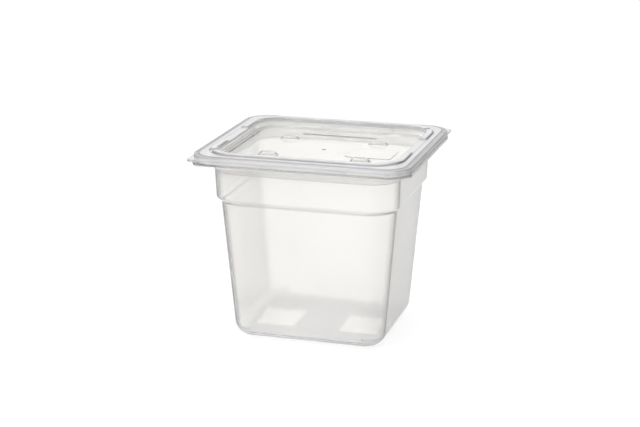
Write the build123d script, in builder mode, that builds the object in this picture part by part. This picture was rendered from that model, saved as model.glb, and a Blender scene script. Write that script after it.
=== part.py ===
"""Sixth-size food pan, 150 deep, with a drop-on lid.

Two mouldings: the pan hangs by its rim, and the lid rests on that rim with a short plug
that reaches down inside the collar. Origin at the middle of the pan's underside, +X along
the long side, +Z up, millimetres.
"""
from build123d import *
import math
import os

os.makedirs("parts", exist_ok=True)

# ---- Pan: outside sizes ----
RIM_LENGTH = 176.0        # long side of the rim, a sixth-size pan
RIM_WIDTH = 162.0         # short side of the rim
PAN_DEPTH = 150.0         # underside to the top of the rim
RIM_CORNER = 19.5         # rim corners that the lid covers
RIM_TAB_CORNER = 16.5     # rim corners below the lid's pull tabs
RIM_SKIRT = 3.0           # height of the rim's turned-down edge
RIM_THICK = 1.9           # flat of the rim
WALL = 1.9                # wall of the pan
FLOOR_THICK = 2.2         # floor of the pan

COLLAR_INSET = 12.0       # rim edge to the collar's face, at the rim
COLLAR_CORNER = 22.0
COLLAR_DRAFT = 1.2        # how far the collar leans in by its lower edge
COLLAR_BASE_Z = 117.5     # lower end of the collar's straight face
SHOULDER_Z = 114.2        # where the body leaves the shoulder
SHOULDER_INSET = 2.8      # step from the collar to the body
BODY_CORNER = 22.8        # corner radius at the top of the body
BODY_DRAFT = 10.0         # how far each wall leans in over the body's height
BASE_CORNER = 16.0        # corner radius at the base
BASE_ROUND = 12.0         # round between the walls and the floor
SHOULDER_ROUND = 3.0
RIM_EDGE_ROUND = 0.7
MOUTH_ROUND = 0.9

# ---- Pan: bare plates moulded on the floor ----
PLATE_LENGTH = 33.0
PLATE_WIDTH = 38.0
PLATE_CORNER = 3.0
PLATE_RAISE = 0.3
PLATE_X = 35.5            # centre of each plate from the middle
PLATE_Y = -3.0

# ---- Lid ----
LID_WALL = 1.7
LIP_HEIGHT = 3.0          # lower part of the lid's upright edge
TAB_THICK = 1.6           # the two pull tabs, flush with the top of that part
TAB_TIP = 2.0             # corner radius of a pull tab
BAND_HEIGHT = 2.2         # upper part of the upright edge
BAND_SETBACK = 0.3        # how far it stands back from the lower part
BAND_WIDTH = 4.5          # flat band round the top, from the edge to a low step
STEP_HEIGHT = 0.3
RING_INSET = 9.0          # lid edge to the raised ring
RING_WIDTH = 5.5
RING_HEIGHT = 1.7
RING_CORNER = 20.0        # inside corner of the ring
RING_GAP = 48.0           # opening in the ring at each short side
RING_BREAK = 4.0          # small break in the ring behind each pull tab
RING_BREAK_INSET = 22.5   # rim edge to the middle of that break
WELL_DEPTH = 9.2          # top of the ring to the panel
WELL_LEAN = 1.4           # how far the well's wall leans in
WELL_FLARE = 1.3          # how far its top edge opens out
WELL_FLARE_HEIGHT = 2.6
PANEL_THICK = 1.7
PLUG_REACH = 11.0         # plug below the top of the pan's rim
PLUG_CLEARANCE = 0.5      # plug to the collar's inner face, at the rim
PLUG_LEAN = 0.9
PLUG_WALL = 1.7
RELIEF_DEPTH = 0.7        # thinner band inside the plug
RELIEF_HEIGHT = 4.3
RELIEF_LENGTH = 92.0
RELIEF_SHIFT = 5.0
PLUG_FLARE = 1.0          # plug's widening above the rim
BAND_ROUND = 0.6
RING_ROUND = 0.7
RING_GAP_DEEP = 20.0      # cut that opens the ring from its outer face

# ---- Lid: details on the panel ----
NUB_LENGTH = 17.0
NUB_WIDTH = 9.0
NUB_HEIGHT = 3.3
NUB_X = 38.0
NUB_Y = 29.0
NUB_TAPER = 42.0           # a low dome, wide at its foot
NUB_ROUND = 1.0
NUB_WALL = 1.5             # wall of the dome's slope, square to it
NUB_CROWN = 1.6            # wall of the dome's top
BAR_LENGTH = 64.0
BAR_WIDTH = 1.6
BAR_HEIGHT = 1.2
BAR_Y = 46.0
GATE_RADIUS = 1.6
GATE_HEIGHT = 0.5
LABEL_LENGTH = 38.0
LABEL_WIDTH = 30.0
LABEL_CORNER = 4.0
LABEL_RAISE = 0.3
LABEL_X = 41.0
LABEL_Y = -4.0
RIB_WIDTH = 1.0
RIB_PROUD = 0.5
RIB_X = 41.0              # rib on each long wall of the well
RIB_Y = 36.0              # rib on each short wall of the well

# ---- Derived sizes ----
COLLAR_LENGTH = RIM_LENGTH - 2 * COLLAR_INSET
COLLAR_WIDTH = RIM_WIDTH - 2 * COLLAR_INSET
COLLAR_LOW_LENGTH = COLLAR_LENGTH - 2 * COLLAR_DRAFT
COLLAR_LOW_WIDTH = COLLAR_WIDTH - 2 * COLLAR_DRAFT
BODY_LENGTH = COLLAR_LOW_LENGTH - 2 * SHOULDER_INSET
BODY_WIDTH = COLLAR_LOW_WIDTH - 2 * SHOULDER_INSET
BASE_LENGTH = BODY_LENGTH - 2 * BODY_DRAFT
BASE_WIDTH = BODY_WIDTH - 2 * BODY_DRAFT
RIM_UNDER_Z = PAN_DEPTH - RIM_THICK
SKIRT_Z = PAN_DEPTH - RIM_SKIRT

LIP_Z = PAN_DEPTH + LIP_HEIGHT
BAND_Z = LIP_Z + BAND_HEIGHT
BAND_LENGTH = RIM_LENGTH - 2 * BAND_SETBACK
BAND_WIDE = RIM_WIDTH - 2 * BAND_SETBACK
BAND_CORNER = RIM_CORNER - BAND_SETBACK
PLATEAU_Z = BAND_Z + STEP_HEIGHT
RING_Z = PLATEAU_Z + RING_HEIGHT
PANEL_Z = RING_Z - WELL_DEPTH
NUB_SLOPE = math.radians(NUB_TAPER)
POCKET_INSET = NUB_WALL / math.cos(NUB_SLOPE) - PANEL_THICK * math.tan(NUB_SLOPE)
POCKET_DEPTH = PANEL_THICK + NUB_HEIGHT - NUB_CROWN
PLUG_Z = PAN_DEPTH - PLUG_REACH
RING_LENGTH = RIM_LENGTH - 2 * RING_INSET
RING_WIDE = RIM_WIDTH - 2 * RING_INSET
RING_BREAK_Y = RIM_WIDTH / 2 - RING_BREAK_INSET
WELL_LENGTH = RING_LENGTH - 2 * RING_WIDTH
WELL_WIDTH = RING_WIDE - 2 * RING_WIDTH
PLUG_LENGTH = COLLAR_LENGTH - 2 * WALL - 2 * PLUG_CLEARANCE
PLUG_WIDTH = COLLAR_WIDTH - 2 * WALL - 2 * PLUG_CLEARANCE
PLUG_CORNER = COLLAR_CORNER - WALL - PLUG_CLEARANCE
PLUG_INSIDE_LENGTH = PLUG_LENGTH - 2 * PLUG_LEAN - 2 * PLUG_WALL
PLUG_INSIDE_WIDTH = PLUG_WIDTH - 2 * PLUG_LEAN - 2 * PLUG_WALL
WELL_MID_LENGTH = WELL_LENGTH - 2 * WELL_FLARE
WELL_MID_WIDTH = WELL_WIDTH - 2 * WELL_FLARE
WELL_MID_CORNER = RING_CORNER - WELL_FLARE
WELL_MID_Z = RING_Z - WELL_FLARE_HEIGHT
WELL_LOW_LENGTH = WELL_MID_LENGTH - 2 * WELL_LEAN
WELL_LOW_WIDTH = WELL_MID_WIDTH - 2 * WELL_LEAN
WELL_LOW_CORNER = WELL_MID_CORNER - WELL_LEAN

# =====================================================================
# Pan
# =====================================================================
# Room inside the pan: body, shoulder and collar, as one solid to take away
with BuildPart() as pan_room:
    with BuildSketch(Plane.XY.offset(FLOOR_THICK)):
        RectangleRounded(
            BASE_LENGTH - 2 * WALL,
            BASE_WIDTH - 2 * WALL,
            BASE_CORNER - WALL,
        )
    with BuildSketch(Plane.XY.offset(SHOULDER_Z)):
        RectangleRounded(
            BODY_LENGTH - 2 * WALL,
            BODY_WIDTH - 2 * WALL,
            BODY_CORNER - WALL,
        )
    loft(ruled=True)
    floor_edges = pan_room.edges().group_by(Axis.Z)[0]
    fillet(floor_edges, radius=BASE_ROUND - WALL)

    with BuildSketch(Plane.XY.offset(SHOULDER_Z)):
        RectangleRounded(
            BODY_LENGTH - 2 * WALL,
            BODY_WIDTH - 2 * WALL,
            BODY_CORNER - WALL,
        )
    with BuildSketch(Plane.XY.offset(COLLAR_BASE_Z)):
        RectangleRounded(
            COLLAR_LOW_LENGTH - 2 * WALL,
            COLLAR_LOW_WIDTH - 2 * WALL,
            COLLAR_CORNER - WALL,
        )
    loft(ruled=True)

    with BuildSketch(Plane.XY.offset(COLLAR_BASE_Z)):
        RectangleRounded(
            COLLAR_LOW_LENGTH - 2 * WALL,
            COLLAR_LOW_WIDTH - 2 * WALL,
            COLLAR_CORNER - WALL,
        )
    with BuildSketch(Plane.XY.offset(PAN_DEPTH)):
        RectangleRounded(
            COLLAR_LENGTH - 2 * WALL,
            COLLAR_WIDTH - 2 * WALL,
            COLLAR_CORNER - WALL,
        )
    loft(ruled=True)
    step_edges = pan_room.edges().filter_by_position(Axis.Z, COLLAR_BASE_Z, COLLAR_BASE_Z)
    fillet(step_edges, radius=SHOULDER_ROUND - WALL)

with BuildPart() as pan:
    # Body: four leaning walls on a rounded base
    with BuildSketch(Plane.XY):
        RectangleRounded(BASE_LENGTH, BASE_WIDTH, BASE_CORNER)
    with BuildSketch(Plane.XY.offset(SHOULDER_Z)):
        RectangleRounded(BODY_LENGTH, BODY_WIDTH, BODY_CORNER)
    loft(ruled=True)
    fillet(pan.edges().group_by(Axis.Z)[0], radius=BASE_ROUND)

    # Shoulder, opening out from the body to the collar
    with BuildSketch(Plane.XY.offset(SHOULDER_Z)):
        RectangleRounded(BODY_LENGTH, BODY_WIDTH, BODY_CORNER)
    with BuildSketch(Plane.XY.offset(COLLAR_BASE_Z)):
        RectangleRounded(COLLAR_LOW_LENGTH, COLLAR_LOW_WIDTH, COLLAR_CORNER)
    loft(ruled=True)

    # Collar, up into the rim
    with BuildSketch(Plane.XY.offset(COLLAR_BASE_Z)):
        RectangleRounded(COLLAR_LOW_LENGTH, COLLAR_LOW_WIDTH, COLLAR_CORNER)
    with BuildSketch(Plane.XY.offset(PAN_DEPTH)):
        RectangleRounded(COLLAR_LENGTH, COLLAR_WIDTH, COLLAR_CORNER)
    loft(ruled=True)
    shoulder_edges = pan.edges().filter_by_position(Axis.Z, COLLAR_BASE_Z, COLLAR_BASE_Z)
    fillet(shoulder_edges, radius=SHOULDER_ROUND)

    # Rim: a flat, rounder at the two corners that the lid covers
    with BuildSketch(Plane.XY.offset(RIM_UNDER_Z)) as rim_outline:
        Rectangle(RIM_LENGTH, RIM_WIDTH)
        covered = rim_outline.vertices().filter_by(lambda v: v.X * v.Y < 0)
        fillet(covered, radius=RIM_CORNER)
        under_tabs = rim_outline.vertices().filter_by(lambda v: v.X * v.Y > 0)
        fillet(under_tabs, radius=RIM_TAB_CORNER)
    extrude(amount=RIM_THICK)
    rim_top = pan.faces().filter_by(Axis.Z).sort_by(Axis.Z)[-1]
    fillet(rim_top.outer_wire().edges(), radius=RIM_EDGE_ROUND)

    # Turned-down edge of the rim
    with BuildSketch(Plane.XY.offset(SKIRT_Z)):
        add(rim_outline.sketch_local)
        offset(amount=-WALL, mode=Mode.SUBTRACT)
    extrude(amount=RIM_SKIRT - RIM_THICK)

    # Hollow it
    add(pan_room.part, mode=Mode.SUBTRACT)
    mouth_edges = pan.faces().filter_by(Axis.Z).sort_by(Axis.Z)[-1].inner_wires()[0].edges()
    fillet(mouth_edges, radius=MOUTH_ROUND)

    # Bare plates on the floor
    with BuildSketch(Plane.XY.offset(FLOOR_THICK)):
        with Locations((-PLATE_X, PLATE_Y), (PLATE_X, PLATE_Y)):
            RectangleRounded(PLATE_LENGTH, PLATE_WIDTH, PLATE_CORNER)
    extrude(amount=PLATE_RAISE)

pan.part.label = "pan"
print("pan", pan.part.is_valid, len(pan.solids()), round(pan.part.volume), pan.part.bounding_box())
export_step(pan.part, "parts/pan.step")

# =====================================================================
# Lid
# =====================================================================
with BuildPart() as lid:
    # Upright edge in two parts, the upper one standing back a little
    with BuildSketch(Plane.XY.offset(PAN_DEPTH)):
        RectangleRounded(RIM_LENGTH, RIM_WIDTH, RIM_CORNER)
    extrude(amount=LIP_HEIGHT)
    with BuildSketch(Plane.XY.offset(LIP_Z)):
        RectangleRounded(BAND_LENGTH, BAND_WIDE, BAND_CORNER)
    extrude(amount=BAND_HEIGHT)
    band_top = lid.faces().filter_by(Axis.Z).sort_by(Axis.Z)[-1]
    fillet(band_top.edges(), radius=BAND_ROUND)

    # Two pointed pull tabs at opposite corners
    with BuildSketch(Plane.XY.offset(LIP_Z - TAB_THICK)) as tab_outline:
        Rectangle(RIM_LENGTH, RIM_WIDTH)
        rounded = tab_outline.vertices().filter_by(lambda v: v.X * v.Y < 0)
        fillet(rounded, radius=RIM_CORNER)
        tips = tab_outline.vertices().filter_by(lambda v: v.X * v.Y > 0)
        fillet(tips, radius=TAB_TIP)
    extrude(amount=TAB_THICK)

    # Low step from the flat band up to the plateau
    with BuildSketch(Plane.XY.offset(BAND_Z)):
        RectangleRounded(
            RIM_LENGTH - 2 * BAND_WIDTH,
            RIM_WIDTH - 2 * BAND_WIDTH,
            RIM_CORNER - BAND_WIDTH,
        )
    extrude(amount=STEP_HEIGHT)

    # Raised ring in two runs: open at the middle of each short side, broken at two corners
    with BuildSketch(Plane.XY.offset(PLATEAU_Z)):
        RectangleRounded(RING_LENGTH, RING_WIDE, RING_CORNER + RING_WIDTH)
        RectangleRounded(
            WELL_MID_LENGTH,
            WELL_MID_WIDTH,
            WELL_MID_CORNER,
            mode=Mode.SUBTRACT,
        )
        with Locations((-RING_LENGTH / 2, 0), (RING_LENGTH / 2, 0)):
            Rectangle(RING_GAP_DEEP, RING_GAP, mode=Mode.SUBTRACT)
        with Locations(
            (-RING_LENGTH / 2, -RING_BREAK_Y),
            (RING_LENGTH / 2, RING_BREAK_Y),
        ):
            Rectangle(RING_GAP_DEEP, RING_BREAK, mode=Mode.SUBTRACT)
    extrude(amount=RING_HEIGHT)

    # Space below the band and the plateau
    with BuildSketch(Plane.XY.offset(PAN_DEPTH)):
        RectangleRounded(
            RIM_LENGTH - 2 * LID_WALL,
            RIM_WIDTH - 2 * LID_WALL,
            RIM_CORNER - LID_WALL,
        )
    extrude(amount=BAND_Z - LID_WALL - PAN_DEPTH, mode=Mode.SUBTRACT)

    # Plug that fits inside the collar
    with BuildSketch(Plane.XY.offset(PLUG_Z)):
        RectangleRounded(PLUG_LENGTH - 2 * PLUG_LEAN, PLUG_WIDTH - 2 * PLUG_LEAN, PLUG_CORNER)
    with BuildSketch(Plane.XY.offset(PLATEAU_Z - LID_WALL / 2)):
        RectangleRounded(PLUG_LENGTH + PLUG_FLARE, PLUG_WIDTH + PLUG_FLARE, PLUG_CORNER)
    loft(ruled=True)

    # Well from above, opening out at its top edge
    with BuildSketch(Plane.XY.offset(PANEL_Z)):
        RectangleRounded(WELL_LOW_LENGTH, WELL_LOW_WIDTH, WELL_LOW_CORNER)
    with BuildSketch(Plane.XY.offset(WELL_MID_Z)):
        RectangleRounded(WELL_MID_LENGTH, WELL_MID_WIDTH, WELL_MID_CORNER)
    loft(ruled=True, mode=Mode.SUBTRACT)
    with BuildSketch(Plane.XY.offset(WELL_MID_Z)):
        RectangleRounded(WELL_MID_LENGTH, WELL_MID_WIDTH, WELL_MID_CORNER)
    with BuildSketch(Plane.XY.offset(RING_Z)):
        RectangleRounded(WELL_LENGTH, WELL_WIDTH, RING_CORNER)
    loft(ruled=True, mode=Mode.SUBTRACT)
    ring_tops = lid.faces().filter_by(Axis.Z).group_by(Axis.Z)[-1]
    fillet(ring_tops.edges(), radius=RING_ROUND)

    # Plug's hollow from below
    with BuildSketch(Plane.XY.offset(PLUG_Z)):
        RectangleRounded(PLUG_INSIDE_LENGTH, PLUG_INSIDE_WIDTH, PLUG_CORNER - PLUG_WALL)
    extrude(amount=PANEL_Z - PANEL_THICK - PLUG_Z, mode=Mode.SUBTRACT)

    # Thinner band low on the inside of the plug, along most of each long side
    with BuildSketch(Plane.XY.offset(PLUG_Z)):
        with Locations(
            (-RELIEF_SHIFT, PLUG_INSIDE_WIDTH / 2),
            (RELIEF_SHIFT, -PLUG_INSIDE_WIDTH / 2),
        ):
            Rectangle(RELIEF_LENGTH, 2 * RELIEF_DEPTH)
    extrude(amount=RELIEF_HEIGHT, mode=Mode.SUBTRACT)

    # Stacking nubs on the panel
    with BuildSketch(Plane.XY.offset(PANEL_Z)):
        with GridLocations(2 * NUB_X, 2 * NUB_Y, 2, 2):
            SlotOverall(NUB_LENGTH, NUB_WIDTH)
    extrude(amount=NUB_HEIGHT, taper=NUB_TAPER)
    nub_tops = lid.faces().filter_by_position(Axis.Z, PANEL_Z + NUB_HEIGHT, PANEL_Z + NUB_HEIGHT)
    fillet(nub_tops.edges(), radius=NUB_ROUND)

    # Pocket under each nub, which follows its slope at an even wall
    with BuildSketch(Plane.XY.offset(PANEL_Z - PANEL_THICK)):
        with GridLocations(2 * NUB_X, 2 * NUB_Y, 2, 2):
            SlotOverall(NUB_LENGTH - 2 * POCKET_INSET, NUB_WIDTH - 2 * POCKET_INSET)
    extrude(amount=POCKET_DEPTH, taper=NUB_TAPER, mode=Mode.SUBTRACT)

    # Low bar along the panel near each long wall
    with BuildSketch(Plane.XY.offset(PANEL_Z)):
        with Locations((0, -BAR_Y), (0, BAR_Y)):
            SlotOverall(BAR_LENGTH, BAR_WIDTH)
    extrude(amount=BAR_HEIGHT)

    # Gate mark at the middle, and a bare plate for writing on
    with BuildSketch(Plane.XY.offset(PANEL_Z)):
        Circle(GATE_RADIUS)
    extrude(amount=GATE_HEIGHT)
    with BuildSketch(Plane.XY.offset(PANEL_Z)):
        with Locations((LABEL_X, LABEL_Y)):
            RectangleRounded(LABEL_LENGTH, LABEL_WIDTH, LABEL_CORNER)
    extrude(amount=LABEL_RAISE)

    # One slim upright rib on each wall of the well, leaning with the wall
    for side in (-1, 1):
        with BuildSketch(Plane.YZ.offset(side * RIB_X)):
            with BuildLine():
                Polyline(
                    (side * (WELL_LOW_WIDTH / 2 - RIB_PROUD), PANEL_Z),
                    (side * (WELL_LOW_WIDTH / 2 + RIB_PROUD), PANEL_Z),
                    (side * (WELL_MID_WIDTH / 2 + RIB_PROUD), WELL_MID_Z),
                    (side * (WELL_MID_WIDTH / 2 - RIB_PROUD), WELL_MID_Z),
                    close=True,
                )
            make_face()
        extrude(amount=RIB_WIDTH / 2, both=True)
        with BuildSketch(Plane.XZ.offset(side * RIB_Y)):
            with BuildLine():
                Polyline(
                    (side * (WELL_LOW_LENGTH / 2 - RIB_PROUD), PANEL_Z),
                    (side * (WELL_LOW_LENGTH / 2 + RIB_PROUD), PANEL_Z),
                    (side * (WELL_MID_LENGTH / 2 + RIB_PROUD), WELL_MID_Z),
                    (side * (WELL_MID_LENGTH / 2 - RIB_PROUD), WELL_MID_Z),
                    close=True,
                )
            make_face()
        extrude(amount=RIB_WIDTH / 2, both=True)

lid.part.label = "lid"
print("lid", lid.part.is_valid, len(lid.solids()), round(lid.part.volume), lid.part.bounding_box())
export_step(lid.part, "parts/lid.step")
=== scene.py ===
# %% [markdown]
# # A deli food pan and its drop-on lid
#
# This is a lesson in building one small, honest object: a sixth-size food pan as a deli
# counter has it, 176 by 162 mm at the rim and 150 mm deep, with the lid on. Both are single
# mouldings in polypropylene, a plastic that is neither clear nor white. Light goes through
# it, but a little of it is scattered on the way, so the pan looks like thin ice.
#
# The measured model comes first. It is a fixed frame: it says how large everything is and
# where it is, and nothing in this lesson moves it.

# %% Load the measured model
import math

import bmesh
import bpy
import numpy as np
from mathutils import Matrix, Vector


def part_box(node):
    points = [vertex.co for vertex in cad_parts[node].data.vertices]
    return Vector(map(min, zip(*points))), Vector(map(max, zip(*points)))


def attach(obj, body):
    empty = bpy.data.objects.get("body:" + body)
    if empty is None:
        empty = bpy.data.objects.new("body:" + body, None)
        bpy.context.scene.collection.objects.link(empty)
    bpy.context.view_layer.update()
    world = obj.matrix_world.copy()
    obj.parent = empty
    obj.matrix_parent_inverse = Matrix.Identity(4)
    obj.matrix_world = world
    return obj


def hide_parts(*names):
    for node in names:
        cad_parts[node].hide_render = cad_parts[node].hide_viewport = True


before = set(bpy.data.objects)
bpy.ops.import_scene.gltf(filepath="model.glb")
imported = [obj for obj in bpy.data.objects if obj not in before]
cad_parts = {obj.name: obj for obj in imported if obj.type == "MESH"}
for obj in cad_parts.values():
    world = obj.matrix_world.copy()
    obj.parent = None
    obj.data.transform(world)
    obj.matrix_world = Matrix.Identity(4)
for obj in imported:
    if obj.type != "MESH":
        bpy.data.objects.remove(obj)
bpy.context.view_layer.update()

# %% [markdown]
# ## Where the camera stands
#
# A pan is shown best from a little above its rim, turned so that the long front wall and
# one short wall are both seen. The camera is kept a good way off with a long lens, because
# a short lens close by makes the near corner swell.
#
# The lens looks along the line from the camera to an aim point inside the pan, and the
# camera stands on a sphere round that point, at an azimuth and an elevation.

# %% Camera
AZIMUTH = math.radians(16.48)
ELEVATION = math.radians(15.95)
CAMERA_DISTANCE = 1.34449
AIM = Vector((-0.00283, -0.00178, 0.09445))
LENS, SENSOR = 92.485, 36.0    # focal length and sensor width in millimetres

camera_data = bpy.data.cameras.new("camera")
camera_data.lens = LENS
camera_data.sensor_width = SENSOR
camera = bpy.data.objects.new("camera", camera_data)
bpy.context.scene.collection.objects.link(camera)
toward_camera = Vector((
    math.sin(AZIMUTH) * math.cos(ELEVATION),
    -math.cos(AZIMUTH) * math.cos(ELEVATION),
    math.sin(ELEVATION),
))
camera.location = AIM + toward_camera * CAMERA_DISTANCE
camera.rotation_euler = (-toward_camera).to_track_quat("-Z", "Y").to_euler()
bpy.context.scene.camera = camera
print("camera at", [round(v, 3) for v in camera.location])

# %% [markdown]
# ## Sizes, taken from the frame
#
# Everything below is written in millimetres, as a toolmaker would write it, and turned
# into metres only when the points go into a mesh. The overall sizes come from the frame:
# the two half sizes of the rim, the height of the rim and the height of the lid's ring.
# The rest are insets, counted inwards from the rim's edge, and heights from the base.

# %% Sizes
MM = 0.001
_, pan_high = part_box("pan")
lid_low, lid_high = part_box("lid")
HALF = np.array([pan_high[0], pan_high[1]]) / MM     # half the rim's length and width
RIM_Z = pan_high[2] / MM                             # top of the pan's rim
RING_Z = lid_high[2] / MM                            # top of the lid's ring
PLUG_Z = lid_low[2] / MM                             # lower edge of the lid's plug
heights = {"rim": RIM_Z, "ring": RING_Z, "plug": PLUG_Z}
print("rim", 2 * HALF, "heights", {name: round(z, 2) for name, z in heights.items()})

# %% [markdown]
# ## One shape for both mouldings: a profile carried round a rounded rectangle
#
# Cut the pan anywhere along a wall and the cut looks almost the same: that cut is its
# profile. The whole pan is the profile carried round a rounded rectangle. A curve with a
# bevel object could do this, but then each corner of the path would keep one radius. On a
# moulding the radius changes with the height, and here it even differs from corner to
# corner.
#
# So the surface is a grid. One direction steps along the profile. The other steps round the
# path, with stops on the four straight sides and angles in the four corners. Each row of
# the profile says how far in from the rim's edge it lies, how high it is, and where the
# centre of each corner's arc is.

# %% Columns round the path
CORNER_SIGNS = np.array([(1, 1), (-1, 1), (-1, -1), (1, -1)])


def path_columns(stops_x, stops_y, angles):
    """Columns of the grid, anticlockwise seen from above, starting on the +X side.

    Side n comes before corner n. Corner n turns from 90 * n to 90 * n + 90 degrees.
    Returns arrays: corner number, cosine and sine of the turn, and the fixed x or y of a
    column on a straight side, which is not a number in the corners.
    """
    corner, turn, fixed_x, fixed_y = [], [], [], []
    for n in range(4):
        stops = np.sort(stops_y if n % 2 == 0 else stops_x)
        if n in (1, 2):
            stops = stops[::-1]
        none = np.full(len(stops), np.nan)
        blank = np.full(len(angles), np.nan)
        fixed_x += [none if n % 2 == 0 else stops, blank]
        fixed_y += [stops if n % 2 == 0 else none, blank]
        turn += [np.full(len(stops), 90.0 * n), 90.0 * n + np.sort(angles)]
        corner.append(np.full(len(stops) + len(angles), n))
    turn = np.radians(np.concatenate(turn))
    return {
        "corner": np.concatenate(corner),
        "cos": np.cos(turn),
        "sin": np.sin(turn),
        "x": np.concatenate(fixed_x),
        "y": np.concatenate(fixed_y),
    }


def carry_round(inset, height, centre, columns, half=HALF, middle=(0.0, 0.0)):
    """Points of a profile carried round a rounded rectangle, as an array (rows, columns, 3).

    In a corner the point is the arc's centre plus the arc's radius in the column's
    direction: x = sign * (half_x - centre) + (centre - inset) * cos(turn), and y likewise
    with the sine. On a straight side the same holds across the side, and along it the
    point stays at the column's own stop.
    """
    signs = CORNER_SIGNS[columns["corner"]]
    pivot = centre[:, columns["corner"]]
    x = signs[:, 0] * (half[0] - pivot) + (pivot - inset) * columns["cos"]
    y = signs[:, 1] * (half[1] - pivot) + (pivot - inset) * columns["sin"]
    x = np.where(np.isnan(columns["x"]), x, columns["x"])
    y = np.where(np.isnan(columns["y"]), y, columns["y"])
    z = height + np.zeros_like(x)
    return np.stack([x + middle[0], y + middle[1], z], axis=-1)


ARC_ANGLES = np.linspace(0.0, 90.0, 25)
PAN_STOPS_X, PAN_STOPS_Y = np.linspace(-40, 40, 5), np.linspace(-36, 36, 5)
pan_columns = path_columns(PAN_STOPS_X, PAN_STOPS_Y, ARC_ANGLES)
print("columns round the pan", len(pan_columns["corner"]))

# %% [markdown]
# ## Rounded edges, and where they show as a line
#
# No edge of a moulding is sharp. The steel is cut with round tools, and plastic doesn't
# fill a sharp corner. Each corner of a profile therefore carries its own rounding radius.
# A Bevel modifier could do it later, but here each edge needs a different radius, and
# it is cheaper to round the profile than the surface.
#
# On a see-through moulding it is the edges that draw the shape: light that meets a tight
# bend is thrown aside, so the bend shows as a fine grey line. Here that line is painted
# shade, put into the colour. How dark it is differs from edge to edge, so each row of a
# profile also carries a line value from 0 to 1, the share of that painted shade. It holds on
# the bend itself, and a guard row just beyond each end of the bend brings it back to 0,
# unless the next corner has a line too: then the whole face between the two carries it.

# %% Rounding a profile
ARC_STEP = math.radians(15.0)
HALF_SIDE = 0.49     # most of a side that a bend may use if the side's other end bends too
WHOLE_SIDE = 0.96    # most of a side that a bend may use if the other end is sharp
GUARD = 0.4          # from the end of a bend to its guard row
GUARD_SHARE = 0.4    # most of the side that a guard row may use


def guard_row(here, other, reach):
    """The point a little further along a side than the bend's end, with no line on it."""
    length = np.hypot(*(other - here)[:2])
    step = reach + min(GUARD, (length - reach) * GUARD_SHARE)
    row = here[:-1] + (other - here)[:-1] * step / length
    row[-1] = 0.0
    return row[None]


def round_profile(rows):
    """Rounds the corners of a profile: inset, height, carried values, line value, radius.

    With turn the change of direction at a corner, the arc starts and ends at
    radius * tan(turn / 2) from it, and its centre is radius / cos(turn / 2) away on the
    line that halves the corner. The arc's points are the start and end vectors from that
    centre, blended by sines so that they keep the radius. Carried values run evenly along it.
    Two rounded corners share the side between them; a sharp one leaves it all to the other.
    """
    rows = np.asarray(rows, dtype=float)
    pieces = [rows[:1, :-1]]
    for before, here, after in zip(rows[:-2], rows[1:-1], rows[2:]):
        back, ahead = before[:2] - here[:2], after[:2] - here[:2]
        back_length, ahead_length = np.hypot(*back), np.hypot(*ahead)
        reach, arc = 0.0, here[None, :-1].copy()
        if here[-1] > 0 and min(back_length, ahead_length) > 0:
            back, ahead = back / back_length, ahead / ahead_length
            turn = math.pi - math.acos(np.clip(back @ ahead, -1.0, 1.0))
            back_room = back_length * (HALF_SIDE if before[-1] > 0 else WHOLE_SIDE)
            ahead_room = ahead_length * (HALF_SIDE if after[-1] > 0 else WHOLE_SIDE)
            reach = min(here[-1] * math.tan(turn / 2), back_room, ahead_room)
            radius = reach / math.tan(turn / 2)
            start = here[:-1] + (before - here)[:-1] * reach / back_length
            end = here[:-1] + (after - here)[:-1] * reach / ahead_length
            half_way = (back + ahead) / np.hypot(*(back + ahead))
            centre = here[:2] + half_way * radius / math.cos(turn / 2)
            t = np.linspace(0.0, 1.0, max(2, math.ceil(turn / ARC_STEP)) + 1)[:, None]
            arc = start + (end - start) * t
            from_centre = np.sin((1 - t) * turn) * (start[:2] - centre)
            from_centre += np.sin(t * turn) * (end[:2] - centre)
            arc[:, :2] = centre + from_centre / math.sin(turn)
        arc[:, -1] = here[-2]
        if here[-2] > 0 and before[-2] == 0 and back_length > 0:
            pieces.append(guard_row(here, before, reach))
        pieces.append(arc)
        if here[-2] > 0 and after[-2] == 0 and ahead_length > 0:
            pieces.append(guard_row(here, after, reach))
    pieces.append(rows[-1:, :-1])
    return np.concatenate(pieces)


# %% [markdown]
# ## From a grid of points to a closed solid
#
# Clear plastic only looks right if the mesh is a closed solid with its faces outward: the
# renderer follows light into the wall and out again, and a hole or a reversed face would
# turn the wall into a solid block. The grid closes on itself round the path, and its first
# and last rows are closed with one flat face each.

# %% Mesh helpers
SAME_POINT = 2e-6       # points closer than this, in metres, are merged
NO_LENGTH = 1e-7        # edges shorter than this are taken out


def solid_mesh(name, points, line=0.0):
    """Closed mesh from a grid (rows, columns, 3) in millimetres.

    Face (i, j) joins points (i, j), (i, j + 1), (i + 1, j + 1) and (i + 1, j), with the
    columns taken round in a circle. Points that fall together are merged, and the faces
    are turned outward. The line value of each point is kept as an attribute.
    """
    rows, columns = points.shape[:2]
    index = np.arange(rows * columns).reshape(rows, columns)
    shifted = np.roll(index, -1, axis=1)
    quads = np.stack([index[:-1], shifted[:-1], shifted[1:], index[1:]], axis=-1)
    faces = quads.reshape(-1, 4).tolist() + [index[0, ::-1].tolist(), index[-1].tolist()]
    mesh = bpy.data.meshes.new(name)
    mesh.from_pydata((points.reshape(-1, 3) * MM).tolist(), [], faces)
    values = np.broadcast_to(np.asarray(line, dtype=np.float32), points.shape[:2])
    mesh.attributes.new("line", "FLOAT", "POINT").data.foreach_set("value", values.ravel())
    work = bmesh.new()
    work.from_mesh(mesh)
    bmesh.ops.remove_doubles(work, verts=work.verts, dist=SAME_POINT)
    bmesh.ops.dissolve_degenerate(work, edges=work.edges, dist=NO_LENGTH)
    bmesh.ops.recalc_face_normals(work, faces=work.faces)
    work.to_mesh(mesh)
    work.free()
    return mesh


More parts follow.
